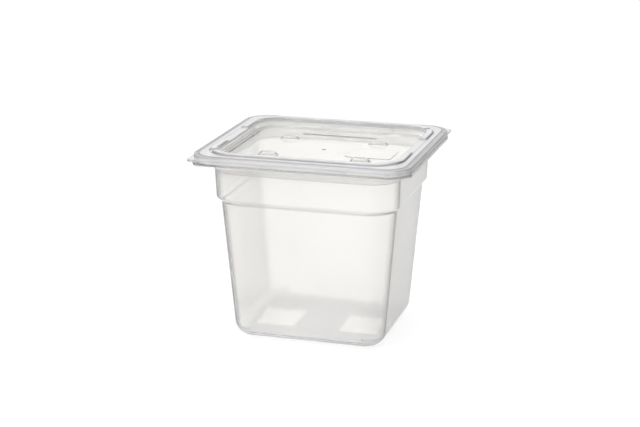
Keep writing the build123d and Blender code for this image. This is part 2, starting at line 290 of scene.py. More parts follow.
def add_object(name, mesh):
    """Links a mesh as an object at the origin."""
    piece = bpy.data.objects.new(name, mesh)
    bpy.context.scene.collection.objects.link(piece)
    return piece


def is_closed(mesh):
    """True if every edge has exactly two faces."""
    loops = np.empty(len(mesh.loops), dtype=np.int32)
    mesh.loops.foreach_get("edge_index", loops)
    return bool((np.bincount(loops, minlength=len(mesh.edges)) == 2).all())


print("points merged within", SAME_POINT, "m")

# %% [markdown]
# ## The pan
#
# The pan stands on a flat base with a wide round up into four leaning walls. The lean lets
# empty pans nest. Near the top the wall steps out over a shoulder to a collar that is
# almost upright: a nested pan stops there instead of jamming. The rim goes out flat and
# turns down at its edge, and hangs the pan in its well.
#
# The profile starts at the middle of the base, runs up the outside, round the rim and down
# the inside. Its third and fourth values are the arc centres of the corners that the lid
# covers, and of the two corners below the lid's pull tabs, where the rim is squarer.

# %% The pan's profile
WALL = 1.9
FLOOR_Z = 2.2
FLAT = 41.0                 # inset where the flat of the base is closed by one face
COLLAR = 12.0               # inset of the collar at the top of the rim
CREST, CREST_Z = 13.2, 117.5    # lower end of the collar
BODY, BODY_Z = 16.0, 114.2      # top of the body
BASE = 26.0                 # inset of the base, before its round
SKIRT = 3.0                 # height of the rim's turned-down edge
RIM_ARC, RIM_ARC_AT_TABS = 19.5, 16.5
COLLAR_ARC, CREST_ARC, BODY_ARC, BASE_ARC = 34.0, 35.2, 38.8, 42.0
# Line values: the share of painted shade along the shoulder, the crest and the rim's edge
SHOULDER_LINE = 0.35
CREST_LINE = 0.2
RIM_LINE = 0.1
PAN_ROWS = [
    # inset, height, arc centre, arc centre at the tabs, line, rounding
    (FLAT, 0.0, BASE_ARC, BASE_ARC, 0.0, 0.0),
    (BASE, 0.0, BASE_ARC, BASE_ARC, 0.0, 12.0),
    (BODY, BODY_Z, BODY_ARC, BODY_ARC, SHOULDER_LINE, 1.2),
    (CREST, CREST_Z, CREST_ARC, CREST_ARC, CREST_LINE, 3.0),
    (COLLAR, RIM_Z - WALL, COLLAR_ARC, COLLAR_ARC, 0.0, 1.0),
    (WALL, RIM_Z - WALL, RIM_ARC, RIM_ARC_AT_TABS, 0.0, 0.3),
    (WALL, RIM_Z - SKIRT, RIM_ARC, RIM_ARC_AT_TABS, 0.0, 0.4),
    (0.0, RIM_Z - SKIRT, RIM_ARC, RIM_ARC_AT_TABS, RIM_LINE, 0.5),
    (0.0, RIM_Z, RIM_ARC, RIM_ARC_AT_TABS, RIM_LINE, 0.7),
    (COLLAR + WALL, RIM_Z, COLLAR_ARC, COLLAR_ARC, 0.0, 0.9),
    (CREST + WALL, CREST_Z, CREST_ARC, CREST_ARC, 0.0, 1.1),
    (BODY + WALL, BODY_Z, BODY_ARC, BODY_ARC, 0.0, 2.4),
    (BASE + WALL, FLOOR_Z, BASE_ARC, BASE_ARC, 0.0, 10.1),
    (FLAT, FLOOR_Z, BASE_ARC, BASE_ARC, 0.0, 0.0),
]
pan_profile = round_profile(PAN_ROWS)
pan_centres = pan_profile[:, [3, 2, 3, 2]]
pan_points = carry_round(pan_profile[:, :1], pan_profile[:, 1:2], pan_centres, pan_columns)
pan_mesh = solid_mesh("pan_moulding", pan_points, pan_profile[:, 4:5])
print("pan grid", pan_points.shape[:2], "closed", is_closed(pan_mesh))

# %% [markdown]
# ## Raised pads
#
# The floor of the pan has two low plates, and the panel of the lid has four stacking nubs,
# two long bars, a gate mark where the plastic went in, and a plate for writing on. Each is
# a small rounded rectangle with a profile of its own, so the same function makes them. Each
# one reaches a little way down into the moulding.

# %% Pads
PAD_ANGLES = np.linspace(0.0, 90.0, 9)
PAD_SINK = 0.8       # how far a pad reaches down into the moulding
FOOT_SHARE = 0.15    # first row above the foot, as a share of the pad's height
TOP_SHARE = 0.8      # last row on the top, as a share of the way in to the arc's centre


def pad_mesh(name, size, corner, foot_z, top_z, middle=(0.0, 0.0),
             lean=0.0, rounding=0.1, line=0.0):
    """A rounded rectangle that rises from foot_z to top_z and leans in by lean on its way.

    Below its foot it goes straight down by PAD_SINK, into the moulding. Its plan is
    carry_round with the pad's own half sizes, with the corner radius as arc centre. Its
    side carries the line value, the share of painted shade, from just above its foot to its
    top edge.
    """
    half = np.array(size) / 2
    just_above = lean * FOOT_SHARE, foot_z + (top_z - foot_z) * FOOT_SHARE
    rows = [
        (0.0, foot_z - PAD_SINK, corner, 0.0, 0.0),
        (0.0, foot_z, corner, 0.0, 0.0),
        (*just_above, corner, line, 0.0),
        (lean, top_z, corner, line, rounding),
        (lean + (corner - lean) * TOP_SHARE, top_z, corner, 0.0, 0.0),
    ]
    profile = round_profile(rows)
    centres = np.repeat(profile[:, 2:3], 4, axis=1)
    columns = path_columns(np.zeros(0), np.zeros(0), PAD_ANGLES)
    points = carry_round(profile[:, :1], profile[:, 1:2], centres, columns, half, middle)
    return solid_mesh(name, points, profile[:, 3:4])


print("columns round a pad", 4 * len(PAD_ANGLES))

# %% [markdown]
# ## One solid out of several
#
# A pad that is merely pushed into the moulding leaves two closed skins that cross, and
# light would bend at both. On the real pan it is all one plastic, and the Boolean modifier
# makes it one here too. The EXACT solver is used, because each pad has a row of points
# exactly in the plane of the face that it stands on.
#
# A Boolean makes new points where two surfaces cross, and what it writes into their
# attributes is not to be trusted. So the line values are copied back afterwards by place.

# %% Line values by place
KEY_SPAN = 2 ** 19   # place keys reach this many micrometres


def read_points(mesh):
    """Places of a mesh's points in millimetres, and their line values."""
    places = np.empty(len(mesh.vertices) * 3, dtype=np.float32)
    mesh.vertices.foreach_get("co", places)
    line = np.empty(len(mesh.vertices), dtype=np.float32)
    mesh.attributes["line"].data.foreach_get("value", line)
    return places.reshape(-1, 3) / MM, line


def place_keys(places):
    """One whole number for each place, built from its three coordinates in micrometres."""
    steps = np.round(places * 1000).astype(np.int64) + KEY_SPAN // 2
    return (steps[:, 0] * KEY_SPAN + steps[:, 1]) * KEY_SPAN + steps[:, 2]


def keep_lines(united, sources):
    """Gives a united mesh its sources' line values back, and new points on a seam 0.

    The Boolean leaves any value on a point that it makes, and a long flat face would
    smear it. Points are matched by place, by searching a sorted list of place keys.
    """
    places, lines = zip(*[read_points(mesh) for mesh in sources])
    keys, line = place_keys(np.concatenate(places)), np.concatenate(lines)
    order = np.argsort(keys)
    wanted = place_keys(read_points(united)[0])
    found = order[np.clip(np.searchsorted(keys[order], wanted), 0, len(keys) - 1)]
    value = np.where(keys[found] == wanted, line[found], 0.0)
    united.attributes["line"].data.foreach_set("value", value.astype(np.float32))
    return int((keys[found] != wanted).sum())


print("places told apart to 1 micrometre, over", KEY_SPAN / 1e6, "m")

# %% Unite and cut
def join_meshes(name, meshes):
    """One mesh made of several that don't touch each other."""
    work = bmesh.new()
    for mesh in meshes:
        work.from_mesh(mesh)
    joined = bpy.data.meshes.new(name)
    work.to_mesh(joined)
    work.free()
    return joined


def combine(name, base, additions, pockets=()):
    """Unites a base mesh with closed additions, then cuts closed pockets out of it.

    Both may touch the base but not each other.
    """
    piece = add_object(name, base)
    sources, tools = [base], []
    for operation, meshes in (("UNION", additions), ("DIFFERENCE", pockets)):
        if meshes:
            sources.append(join_meshes(name + "_" + operation.lower(), meshes))
            tools.append(add_object(sources[-1].name, sources[-1]))
            step = piece.modifiers.new(operation.lower(), "BOOLEAN")
            step.operation, step.solver, step.object = operation, "EXACT", tools[-1]
    depsgraph = bpy.context.evaluated_depsgraph_get()
    combined = bpy.data.meshes.new_from_object(piece.evaluated_get(depsgraph))
    piece.modifiers.clear()
    piece.data = combined
    combined.name = name
    on_seams = keep_lines(combined, sources)
    for tool in tools:
        bpy.data.objects.remove(tool)
    print(name, "faces", len(combined.polygons), "closed", is_closed(combined))
    print(name, "points on seams", on_seams)
    return piece


# %% Unite the pan with its floor plates
PLATE_SIZE, PLATE_CORNER = (33.0, 38.0), 3.0
PLATE_X, PLATE_Y = 35.5, -3.0
PLATE_TOP_Z = FLOOR_Z + 0.3
# The plates' sides take a faint painted shade, by their line value
pan_plates = [
    pad_mesh("plate", PLATE_SIZE, PLATE_CORNER, FLOOR_Z, PLATE_TOP_Z, (x, PLATE_Y),
             rounding=0.12, line=0.1)
    for x in (-PLATE_X, PLATE_X)
]
pan_piece = combine("pan_moulding", pan_mesh, pan_plates)

# %% [markdown]
# ## The lid
#
# The lid drops onto the rim. Its edge stands upright in two parts, with a flat band on top
# and a low step up to a plateau. A ring stands on the plateau and keeps the next pan in
# place. Inside the ring the wall of the well goes down to the panel, and below the panel a
# thin plug reaches into the collar and keeps the lid from sliding off.
#
# The ring is open in the middle of each short side, so that water runs off, and has a
# small break behind each pull tab. The grid handles both with one number for each column:
# 0 where the ring stands, 1 where it is open. The rows that belong to the ring say how far
# they sink, and how far they move in, where that number is 1. The thinner band inside the
# plug is made in the same way, with a number of its own.

# %% Columns round the lid
RING_GAP = 24.0             # half the opening in the ring at each short side
BREAK = (26.0, 38.0)        # the small break, in degrees from the short side
STEEP = 0.5                 # how wide the ring's end faces are in plan
STEEP_ANGLE = 1.2           # the same at the break, in degrees
RELIEF = {3: (-41.0, 51.0), 1: (-51.0, 41.0)}   # thinner band in the plug: front, back
RELIEF_STEEP = 0.3          # how wide the thinner band's end faces are in plan
LAST_STOP = 51.5            # beyond this a stop would be in the corner
NEAR = 0.1                  # slack when places are compared

lid_stops_x = np.unique(np.concatenate([
    np.linspace(-51, 51, 9),
    np.ravel([(a - RELIEF_STEEP, a, b, b + RELIEF_STEEP) for a, b in RELIEF.values()]),
]))
lid_stops_x = lid_stops_x[np.abs(lid_stops_x) <= LAST_STOP]
half_stops_y = np.array([12, RING_GAP, RING_GAP + STEEP, 34, 44])
lid_stops_y = np.concatenate([-half_stops_y, [0.0], half_stops_y])
break_ends = [BREAK[0] - STEEP_ANGLE, BREAK[0], BREAK[1], BREAK[1] + STEEP_ANGLE]
lid_angles = np.unique(np.concatenate([ARC_ANGLES, break_ends]))
lid_columns = path_columns(lid_stops_x, lid_stops_y, lid_angles)


def between(values, low, high):
    """True where a value lies from low to high, both ends included with a little slack."""
    return (values > low - NEAR) & (values < high + NEAR)


# %% Where the ring is open and the plug is thinner
turn_degrees = np.degrees(np.arctan2(lid_columns["sin"], lid_columns["cos"])) % 180
in_corner = np.isnan(lid_columns["x"]) & np.isnan(lid_columns["y"])
behind_tab = in_corner & (lid_columns["corner"] % 2 == 0)
in_gap = between(lid_columns["y"], -RING_GAP, RING_GAP)
ring_open = (behind_tab & between(turn_degrees, *BREAK) | in_gap).astype(float)
thinned = sum(
    (lid_columns["corner"] == side) & between(lid_columns["x"], *ends)
    for side, ends in RELIEF.items()
).astype(float)
print("columns round the lid", len(ring_open))
print("open", int(ring_open.sum()), "thinned", int(thinned.sum()))

# %% [markdown]
# ## The lid's profile
#
# The rows start at the middle of the panel, run up the wall of the well and over the ring,
# out across the plateau and the band, down the upright edge and back in under it, down
# round the plug and in below the panel.
#
# The pull tabs could be separate pieces, but they are part of the same plastic and only
# corners of the same edge. At two opposite corners the rows at LIP_Z and TAB_Z have their
# arc's centre just 2 mm in, so there the edge is almost square, and it stands out beyond
# the rounder edge above and below it as a thin pointed tab.

# %% The lid's sizes
RING_HEIGHT = 1.7
PLATEAU_Z = RING_Z - RING_HEIGHT
BAND_Z = PLATEAU_Z - 0.3
LIP_Z = RIM_Z + 3.0         # top of the pull tabs
TAB_Z = LIP_Z - 1.6         # underside of the pull tabs
PANEL_Z = RING_Z - 9.2
WELL_TOP_Z = RING_Z - 2.6   # where the well's wall bends out to the ring
LID_WALL = 1.7
PANEL_UNDER_Z = PANEL_Z - LID_WALL
RELIEF_Z = PLUG_Z + 4.3     # the plug's thinner band reaches up to here
PANEL_IN = 28.0             # inset where the panel is closed by one face
WELL_FOOT, WELL_TOP = 17.2, 15.8
RING_IN, RING_CREST, RING_OUT = 14.5, 12.0, 9.0
STEP_IN, BAND_OUT = 4.5, 0.3
PLUG_ROOT, PLUG_TIP, PLUG_IN = 14.0, 15.3, 17.0
WELL_ARC, LID_ARC, TAB_ARC = 34.5, 19.5, 2.0
ROOT_ARC, PLUG_ARC = 33.6, 34.9
RELIEF_DEPTH = -0.7         # the thinner band's inner wall lies this much further out
PLATEAU_MID, MID_ARC = 6.8, 27.0
WELL_FADE = ((16.67, 2.5), (16.65, 2.6))   # on the wall: inset, height above the panel
print("plateau", round(PLATEAU_Z, 2), "panel", round(PANEL_Z, 2), "tabs from", round(TAB_Z, 2))

# %% The lid's rows
# Line values of the lid's bends: the share of painted shade on each
FAINT = 0.001               # a line value that only lets the next one fade out slowly
WELL_FOOT_LINE, WELL_LINE = 0.75, 0.05
RING_TOP_LINE, RING_EDGE_LINE, RING_FOOT_LINE = 0.2, 0.7, 0.9
STEP_LINE, BAND_LINE, LIP_LINE, SEAM_LINE, PLUG_LINE = 0.8, 0.5, 0.4, 0.3, 0.3


def row(inset, height, arc, line=0.0, rounding=0.0, at_tabs=None, sink=0.0, move=0.0, thin=0.0):
    """One row of the lid's profile, with its values in the order that the grid needs.

    arc is where the corners' arcs are centred, at_tabs the same at the pull tabs if it
    differs. sink and move say how far the row goes down and in where the ring is open,
    thin how far it moves in where the plug is thinner.
    """
    return inset, height, arc, at_tabs or arc, sink, move, thin, line, rounding


LID_ROWS = [
    row(PANEL_IN, PANEL_Z, WELL_ARC),
    row(WELL_FOOT, PANEL_Z, WELL_ARC, WELL_FOOT_LINE, 0.8),
    row(WELL_FADE[0][0], PANEL_Z + WELL_FADE[0][1], WELL_ARC),
    row(WELL_FADE[1][0], PANEL_Z + WELL_FADE[1][1], WELL_ARC, FAINT),
    row(WELL_TOP, WELL_TOP_Z, WELL_ARC, WELL_LINE, 2.0),
    row(RING_IN, RING_Z, WELL_ARC, RING_TOP_LINE, 0.9, sink=RING_HEIGHT, move=0.85),
    row(RING_CREST, RING_Z, WELL_ARC, sink=RING_HEIGHT, move=0.5),
    row(RING_OUT, RING_Z, WELL_ARC, RING_EDGE_LINE, 0.7, sink=RING_HEIGHT),
    row(RING_OUT, PLATEAU_Z, WELL_ARC, RING_FOOT_LINE, 0.3),
    row(PLATEAU_MID, PLATEAU_Z, MID_ARC),
    row(STEP_IN, PLATEAU_Z, LID_ARC, STEP_LINE, 0.12),
    row(STEP_IN, BAND_Z, LID_ARC, STEP_LINE, 0.12),
    row(BAND_OUT, BAND_Z, LID_ARC, BAND_LINE, 0.6),
    row(BAND_OUT, LIP_Z, LID_ARC, 0.0, 0.1),
    row(0.0, LIP_Z, LID_ARC, LIP_LINE, at_tabs=TAB_ARC),
    row(0.0, TAB_Z, LID_ARC, LIP_LINE, at_tabs=TAB_ARC),
    row(0.0, TAB_Z, LID_ARC),
    row(0.0, RIM_Z, LID_ARC, SEAM_LINE, 0.3),
    row(LID_WALL, RIM_Z, LID_ARC, 0.0, 0.3),
    row(LID_WALL, BAND_Z - LID_WALL, LID_ARC, 0.0, 0.5),
    row(PLUG_ROOT, BAND_Z - LID_WALL, ROOT_ARC, 0.0, 0.6),
    row(PLUG_TIP, PLUG_Z, PLUG_ARC, PLUG_LINE, 0.4),
    row(PLUG_IN, PLUG_Z, PLUG_ARC, PLUG_LINE, 0.4, thin=RELIEF_DEPTH),
    row(PLUG_IN, RELIEF_Z, PLUG_ARC, thin=RELIEF_DEPTH),
    row(PLUG_IN, RELIEF_Z, PLUG_ARC),
    row(PLUG_IN, PANEL_UNDER_Z, PLUG_ARC, 0.0, 0.6),
    row(PANEL_IN, PANEL_UNDER_Z, PLUG_ARC),
]
print("rows of the lid's profile", len(LID_ROWS))

# %% The lid's moulding
INSET, HEIGHT, CENTRE, CENTRE_AT_TABS, SINK, MOVE, THIN, LINE = range(8)


def column_of(profile, number):
    """One value of every row, kept as a column, so that it spreads over the columns."""
    return profile[:, number:number + 1]


lid_profile = round_profile(LID_ROWS)
lid_inset = column_of(lid_profile, INSET) + column_of(lid_profile, MOVE) * ring_open
lid_inset = lid_inset + column_of(lid_profile, THIN) * thinned
lid_height = column_of(lid_profile, HEIGHT) - column_of(lid_profile, SINK) * ring_open
lid_centres = lid_profile[:, [CENTRE_AT_TABS, CENTRE, CENTRE_AT_TABS, CENTRE]]
lid_points = carry_round(lid_inset, lid_height, lid_centres, lid_columns)
by_ring_foot = np.abs(column_of(lid_profile, INSET) - RING_OUT) < NEAR
on_ring = (column_of(lid_profile, SINK) > 0) | by_ring_foot
lid_line = column_of(lid_profile, LINE) * np.where(on_ring, 1.0 - ring_open, 1.0)
lid_mesh = solid_mesh("lid_moulding", lid_points, lid_line)
print("lid grid", lid_points.shape[:2], "closed", is_closed(lid_mesh))

# %% [markdown]
# ## Nubs, bars, gate and label
#
# The next pan of a stack stands in the well. Four blunt nubs and two long bars hold it off
# the panel, so that the two don't stick together when wet. The gate is the scar where the
# molten plastic entered the mould, often in the middle of a part like this. The label is a
# low bare plate for writing on. All of them are pads.

# %% Pads on the panel
NUB_LENGTH, NUB_WIDTH, NUB_HEIGHT = 17.0, 9.0, 3.3
NUB_SLOPE = math.tan(math.radians(42.0))
NUB_PLACES = [(x, y) for x in (-38.0, 38.0) for y in (-29.0, 29.0)]
BAR_SIZE, BAR_HEIGHT, BAR_Y = (64.0, 1.6), 1.2, 46.0
GATE_WIDTH, GATE_HEIGHT = 3.2, 0.5
LABEL_SIZE, LABEL_HEIGHT, LABEL_PLACE = (38.0, 30.0), 0.3, (41.0, -4.0)

# The bars, the gate and the label carry line values: painted shade along their sides
lid_pads = [
    pad_mesh("nub", (NUB_LENGTH, NUB_WIDTH), NUB_WIDTH / 2, PANEL_Z, PANEL_Z + NUB_HEIGHT,
             place, lean=NUB_HEIGHT * NUB_SLOPE, rounding=1.6)
    for place in NUB_PLACES
]
lid_pads += [
    pad_mesh("bar", BAR_SIZE, BAR_SIZE[1] / 2, PANEL_Z, PANEL_Z + BAR_HEIGHT, (0.0, y),
             lean=0.15, rounding=0.4, line=0.9)
    for y in (-BAR_Y, BAR_Y)
]
lid_pads += [
    pad_mesh("gate", (GATE_WIDTH, GATE_WIDTH), GATE_WIDTH / 2, PANEL_Z, PANEL_Z + GATE_HEIGHT,
             lean=0.3, rounding=0.2, line=1.0),
    pad_mesh("label", LABEL_SIZE, 4.0, PANEL_Z, PANEL_Z + LABEL_HEIGHT, LABEL_PLACE,
             rounding=0.12, line=1.0),
]
print("pads on the panel", [pad.name for pad in lid_pads])

# %% [markdown]
# ## Ribs on the walls of the well
#
# One slim upright rib on each wall of the well stiffens it. A rib is only a box, but its two
# ends lean with the wall, so it is worked out as one: four places in the cut across the
# wall, at each of the rib's two ends.

# %% Ribs
# The ribs carry a line value: painted shade on them
RIB_LINE = 0.4
RIB_WIDTH, RIB_PROUD = 1.0, 0.5
RIB_PLACES = (41.0, 36.0)      # along a long wall, along a short wall
RIB_FOOT_Z = PANEL_Z - 0.3


def rib_mesh(name, along, side):
    """A slim upright rib on a wall of the well: a box whose two ends lean with the wall.

    along is 0 for a rib on a long wall, 1 on a short one. The box spans its width along
    the wall, and goes from proud outside the wall's face to proud behind it.
    """
    across = 1 - along
    inset = np.array([WELL_FOOT, WELL_FOOT, WELL_TOP, WELL_TOP])
    into = RIB_PROUD * np.array([1, -1, -1, 1])
    points = np.zeros((2, 4, 3))
    points[:, :, along] = (side if along == 0 else -side) * RIB_PLACES[along]
    points[:, :, along] += np.array([[-RIB_WIDTH / 2], [RIB_WIDTH / 2]])
    points[:, :, across] = side * (HALF[across] - inset - into)
    points[:, :, 2] = [RIB_FOOT_Z, RIB_FOOT_Z, WELL_TOP_Z, WELL_TOP_Z]
    return solid_mesh(name, points, RIB_LINE)


lid_ribs = [rib_mesh("rib", along, side) for along in (0, 1) for side in (-1, 1)]
print("ribs", len(lid_ribs))

# %% [markdown]
# ## Hollows under the nubs
#
# A moulder keeps every wall about as thick as the next, because a thick lump cools slowly
# and sinks in. So the nubs are hollow from below. It shows: a solid nub would bend the
# light like a lens and look dark, a hollow one is as pale as the panel round it. The hollow
# is a pad once more, a little smaller than the nub, cut away instead of added.

# %% Hollow the nubs and unite the lid
NUB_CROWN = 1.6         # wall of a nub's top
POCKET_INSET = 0.49     # from the nub's foot to the hollow's: leaves a slope 1.5 mm thick
POCKET_WIDTH = NUB_WIDTH - 2 * POCKET_INSET
pocket_size = (NUB_LENGTH - 2 * POCKET_INSET, POCKET_WIDTH)
pocket_top_z = PANEL_Z + NUB_HEIGHT - NUB_CROWN
nub_pockets = [
    pad_mesh("pocket", pocket_size, POCKET_WIDTH / 2, PANEL_UNDER_Z, pocket_top_z, place,
             lean=(pocket_top_z - PANEL_UNDER_Z) * NUB_SLOPE, rounding=0.3)
    for place in NUB_PLACES
]
lid_piece = combine("lid_moulding", lid_mesh, lid_pads + lid_ribs, nub_pockets)

# %% [markdown]
# ## Smooth normals
#
# Light in clear plastic bends by the direction of the surface, so facets show up far more
# than on paint. The faces are shaded smooth, with a hard line only where two faces meet at
# more than 40 degrees, and the Weighted Normal modifier keeps the large flat faces flat
# right up to the rounded edges beside them.

# %% Smooth shading
SHARP_ANGLE = math.radians(40.0)
for piece in (pan_piece, lid_piece):
    piece.data.shade_smooth()
    piece.data.set_sharp_from_angle(angle=SHARP_ANGLE)
    weighted = piece.modifiers.new("weighted normals", "WEIGHTED_NORMAL")
    weighted.keep_sharp = True
print("smoothed", pan_piece.name, lid_piece.name)

# %% [markdown]
# ## Where a moulding looks darker
#
# Hold a pan like this up to the light and look along a wall instead of at it. The wall gets
# darker, and it is darkest at the corners, where the wall turns away until it is seen edge on.
# Here that darkening is painted shade in the colour. The colour therefore needs to know
# which faces are walls and which parts of them are corners.
#
# Both come from the surface's own direction. A wall's normal is close to level. In a corner
# its x and y parts are both large, on a straight side one of them is near zero. The two
# answers are kept as attributes of the points, like the line values.

# %% Walls and corners
WALL_LEVEL, WALL_SPAN = 0.88, 0.08    # how level a wall's normal is: from where, over what
FOOT_Z, FOOT_SPAN = 2.0, 4.0          # the lowest part of the base's round is no wall
# How strongly the corners take painted shade
CORNER_SHADE_GAIN = {"pan_moulding": 30.0, "lid_moulding": 0.0}   # the lid's walls are too low


def mark_walls(piece):
    """Writes the attributes side and corner, both from 0 to 1, and returns the corner values.

    With level the length of the normal's level part, side is the way of level past
    WALL_LEVEL as a share of WALL_SPAN, kept within 0 and 1. It is multiplied by the way of
    the height past FOOT_Z as a share of FOOT_SPAN, kept likewise. With phi the direction
    of the normal in plan, sin(2 * phi) is 2 * x * y / level ** 2, and corner is side times
    the gain times its square, kept within 0 and 1.
    """
    mesh = piece.data
    places, _ = read_points(mesh)
    normals = np.empty(len(mesh.vertices) * 3, dtype=np.float32)
    mesh.vertex_normals.foreach_get("vector", normals)
    normals = normals.reshape(-1, 3)
    level = np.hypot(normals[:, 0], normals[:, 1])
    twist = 2 * normals[:, 0] * normals[:, 1] / np.maximum(level, 1e-6) ** 2
    above_foot = np.clip((places[:, 2] - FOOT_Z) / FOOT_SPAN, 0.0, 1.0)
    side = np.clip((level - WALL_LEVEL) / WALL_SPAN, 0.0, 1.0) * above_foot
    corner = side * np.clip(CORNER_SHADE_GAIN[piece.name] * twist ** 2, 0.0, 1.0)
    for name, value in (("side", side), ("corner", corner)):
        mesh.attributes.new(name, "FLOAT", "POINT").data.foreach_set("value", value)
    return corner


for piece in (pan_piece, lid_piece):
    print(piece.name, "points in corners", int((mark_walls(piece) > 0.5).sum()))

# %% [markdown]
# ## Milky plastic
#
# Polypropylene lets light through but scatters a little of it, so what lies behind a wall is
# seen softly. A real volume that scatters would be the honest way, but it is slow and grainy
# to render. A rough glass does nearly the same here: most of the light is transmitted with
# some blur, and the rest comes back as a pale diffuse colour.
#
# The colour is mixed in four steps. First come faint patches of thicker haze, because
# plastic never flows into a mould quite evenly. The second step is painted shade: it darkens
# walls seen at a slant. The third paints a stronger shade into the corners, and the fourth
# paints the shade of the lines on top. The Layer Weight node's Facing output tells how
# slantwise the plastic is seen.
#
# The steel of a mould is polished by hand, so no wall is quite flat. A very shallow bump
# from a Noise texture gives each one soft waves about 20 mm long. Patches and waves could
# be painted, but noise needs no file and never repeats with a visible edge. Both read
# Object coordinates, so they stay on the piece when the lid is lifted.

# %% Node helpers
def add_math(tree, operation, first, second):
    """A Math node; each of its two inputs is a number or the output of another node."""
    node = tree.nodes.new("ShaderNodeMath")
    node.operation = operation
    for socket, value in zip(node.inputs, (first, second)):
        if isinstance(value, float):
            socket.default_value = value
        else:
            tree.links.new(value, socket)
    return node.outputs[0]


def add_tint(tree, share, color, tint):
    """Mixes a color, or the output of another node, with a fixed tint by share."""
    node = tree.nodes.new("ShaderNodeMix")
    node.data_type = "RGBA"
    tree.links.new(share, node.inputs["Factor"])
    plain, tinted = [s for s in node.inputs if s.type == "RGBA"]
    if isinstance(color, tuple):
        plain.default_value = (*color, 1.0)
    else:
        tree.links.new(color, plain)
    tinted.default_value = (*tint, 1.0)
    return [s for s in node.outputs if s.type == "RGBA"][0]


def add_noise(tree, place, scale, detail):
    """Smooth noise from 0 to 1, fixed to the piece by its own coordinates."""
    noise = tree.nodes.new("ShaderNodeTexNoise")
    noise.inputs["Scale"].default_value = scale
    noise.inputs["Detail"].default_value = detail
    tree.links.new(place.outputs["Object"], noise.inputs["Vector"])
    return noise.outputs["Fac"]


print("node helpers", [helper.__name__ for helper in (add_math, add_tint, add_noise)])

# %% Milky plastic
# Facing where the painted shade of walls seen at a slant starts and is full
SLANT_FROM, SLANT_TO = 0.3, 0.75      # Facing where the darkening starts and is full
LINE_HEAD_ON = 0.7                    # share of a line that shows even when seen head on
WAVE_SCALE = 45.0                     # waves per metre of the mould's uneven polish
WAVE_DEPTH = 0.0002                   # height of the waves in metres
HAZE_SCALE = 22.0                     # patches of thicker haze per metre
HAZE_SHARE, HAZE_DARK = 0.14, 0.75    # how strong a patch gets, and its shade of the colour
# Painted shade of a corner that is seen edge on
CORNER_SHADE_COLOR = (0.05, 0.05, 0.05)     # of a corner that is seen edge on


def milky_plastic(name, color, line, clearness, roughness, ior, slant=None, walls_only=True):
    """Glass that is partly diffuse, with painted shade in its colour on slants, corners and
    lines.

    slant is the colour of the painted shade on a wall seen at a slant: the plain colour if it
    isn't given.
    With walls_only false, faces that aren't walls take it too.
    """
    material = bpy.data.materials.new(name)
    material.use_nodes = True
    tree = material.node_tree
    shader = tree.nodes["Principled BSDF"]
    shader.inputs["Roughness"].default_value = roughness
    shader.inputs["IOR"].default_value = ior
    shader.inputs["Transmission Weight"].default_value = clearness
    weight = tree.nodes.new("ShaderNodeLayerWeight")
    weight.inputs["Blend"].default_value = 0.5
    slantwise = tree.nodes.new("ShaderNodeMapRange")
    slantwise.inputs["From Min"].default_value = SLANT_FROM
    slantwise.inputs["From Max"].default_value = SLANT_TO
    tree.links.new(weight.outputs["Facing"], slantwise.inputs["Value"])
    slantwise = slantwise.outputs["Result"]
    marks = {}
    for attribute in ("side", "corner", "line"):
        node = tree.nodes.new("ShaderNodeAttribute")
        node.attribute_name = attribute
        marks[attribute] = node.outputs["Fac"]
    # Painted shade: walls seen at a slant take the slant colour
    slant_shade = add_math(tree, "MULTIPLY", slantwise, marks["side"]) if walls_only else slantwise
    shown = add_math(tree, "MULTIPLY", slantwise, 1.0 - LINE_HEAD_ON)
    shown = add_math(tree, "ADD", shown, LINE_HEAD_ON)
    place = tree.nodes.new("ShaderNodeTexCoord")
    haze = add_noise(tree, place, HAZE_SCALE, detail=2.0)
    patches = add_math(tree, "MULTIPLY", haze, HAZE_SHARE)
    mixed = add_tint(tree, patches, color, tuple(HAZE_DARK * part for part in color))
    mixed = add_tint(tree, slant_shade, mixed, slant or color)
    edge_on = add_math(tree, "MULTIPLY", slantwise, slantwise)
    # Painted shade, stronger, in corners seen edge on
    corner_shade = add_math(tree, "MULTIPLY", edge_on, marks["corner"])
    mixed = add_tint(tree, corner_shade, mixed, CORNER_SHADE_COLOR)
    # Painted shade of the lines along the bends
    mixed = add_tint(tree, add_math(tree, "MULTIPLY", shown, marks["line"]), mixed, line)
    tree.links.new(mixed, shader.inputs["Base Color"])
    bump = tree.nodes.new("ShaderNodeBump")
    bump.inputs["Distance"].default_value = WAVE_DEPTH
    waves = add_noise(tree, place, WAVE_SCALE, detail=1.0)
    tree.links.new(waves, bump.inputs["Height"])
    tree.links.new(bump.outputs["Normal"], shader.inputs["Normal"])
    return material


print("plastic darkens from Facing", SLANT_FROM, "to", SLANT_TO)
